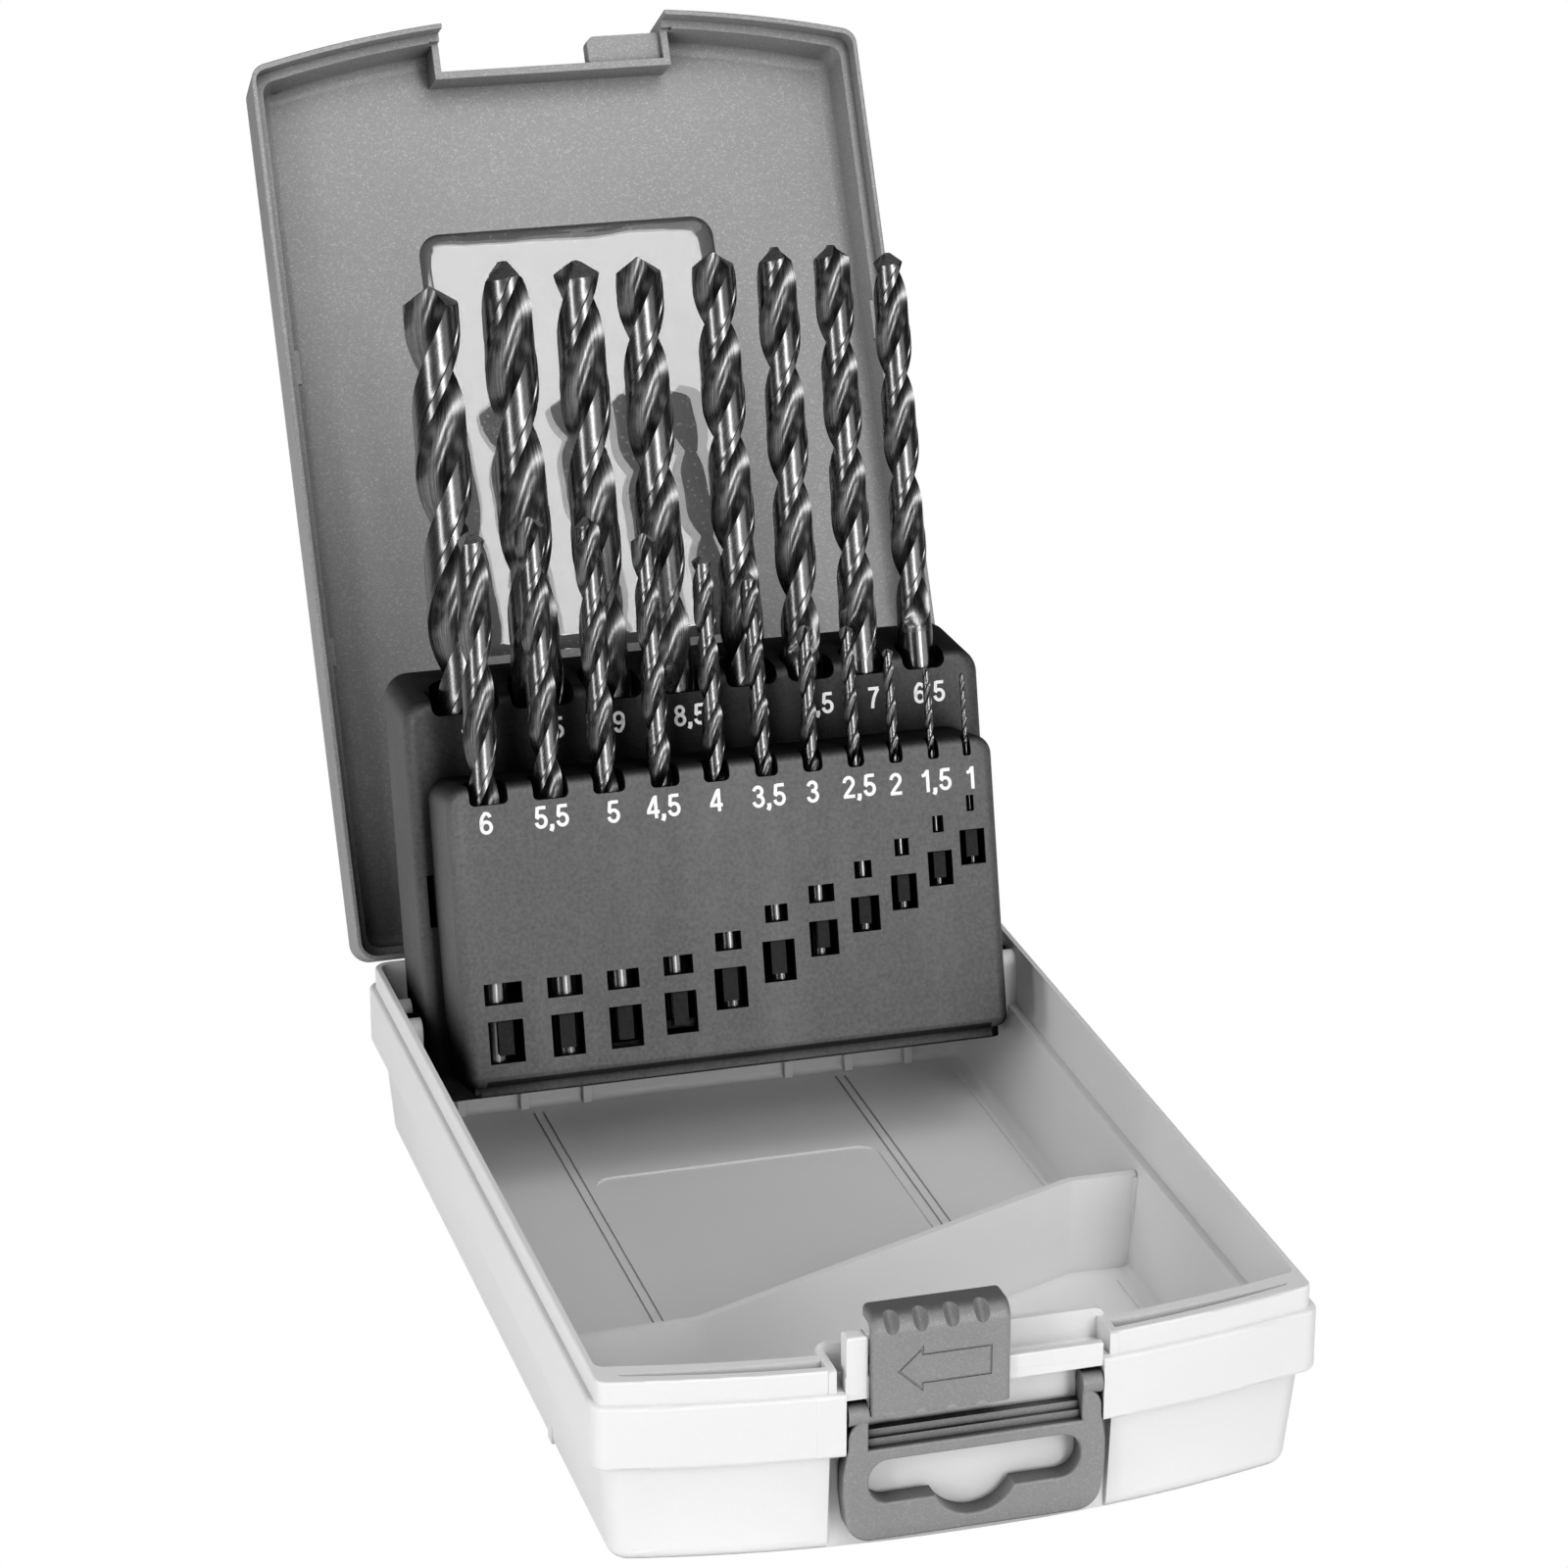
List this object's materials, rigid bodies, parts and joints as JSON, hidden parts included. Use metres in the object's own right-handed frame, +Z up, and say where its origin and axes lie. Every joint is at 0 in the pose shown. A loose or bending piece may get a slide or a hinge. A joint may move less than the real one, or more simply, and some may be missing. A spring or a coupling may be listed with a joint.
{
  "type": "drill bit case",
  "caption": "Hinged plastic case for twist drills with a self-raising two-tier stand, a sliding catch and a swing-out hang handle.",
  "frame": {"origin": "centre of the base's underside, at the level of the face it stands on", "axes": "+X to the right, -Y towards the latch, +Z up; the case lies on its base with the lid open"},
  "size_m": [0.11, 0.2558, 0.1722],
  "materials": {
    "tray_plastic": "light grey moulded plastic, satin",
    "lid_plastic": "mid grey plastic with a fine metallic fleck",
    "trim_plastic": "darker grey plastic with a fine metallic fleck",
    "stand_plastic": "black, fine spark-eroded texture",
    "drill_steel": "dark ground high speed steel",
    "window": "clear plastic pane",
    "card": "plain light label card"
  },
  "bodies": {
    "base": {"base_tray": "tray_plastic"},
    "lid": {"lid_cover": "lid_plastic", "lid_window": "window", "label_card": "card"},
    "stand": {"stand_front_tier": "stand_plastic", "stand_rear_tier": "stand_plastic", "drill_01_0_mm": "drill_steel", "drill_01_5_mm": "drill_steel", "drill_02_0_mm": "drill_steel", "drill_02_5_mm": "drill_steel", "drill_03_0_mm": "drill_steel", "drill_03_5_mm": "drill_steel", "drill_04_0_mm": "drill_steel", "drill_04_5_mm": "drill_steel", "drill_05_0_mm": "drill_steel", "drill_05_5_mm": "drill_steel", "drill_06_0_mm": "drill_steel", "drill_06_5_mm": "drill_steel", "drill_07_0_mm": "drill_steel", "drill_07_5_mm": "drill_steel", "drill_08_0_mm": "drill_steel", "drill_08_5_mm": "drill_steel", "drill_09_0_mm": "drill_steel", "drill_09_5_mm": "drill_steel", "drill_10_0_mm": "drill_steel"},
    "catch": {"latch_slider": "trim_plastic"},
    "handle": {"hang_handle": "trim_plastic"}
  },
  "joints": [
    {"name": "lid_hinge", "type": "hinge", "parent": "base", "child": "lid", "pos_m": [0, 0.0808, 0.026], "axis": [1, 0, 0], "range_deg": [0, 117.7]},
    {"name": "stand_pivot", "type": "hinge", "parent": "base", "child": "stand", "pos_m": [0, 0.05878, 0.02658], "axis": [1, 0, 0], "range_deg": [0, 104]},
    {"name": "catch_slide", "type": "slide", "parent": "base", "child": "catch", "axis": [1, 0, 0], "range_m": [0, 0.0109]},
    {"name": "handle_pivot", "type": "hinge", "parent": "base", "child": "handle", "pos_m": [0, -0.0836, 0.0233], "axis": [-1, 0, 0], "range_deg": [0, 90]}
  ],
  "couplings": [
    {"joint": "stand_pivot", "follows": "lid_hinge", "ratio": 0.8836}
  ]
}
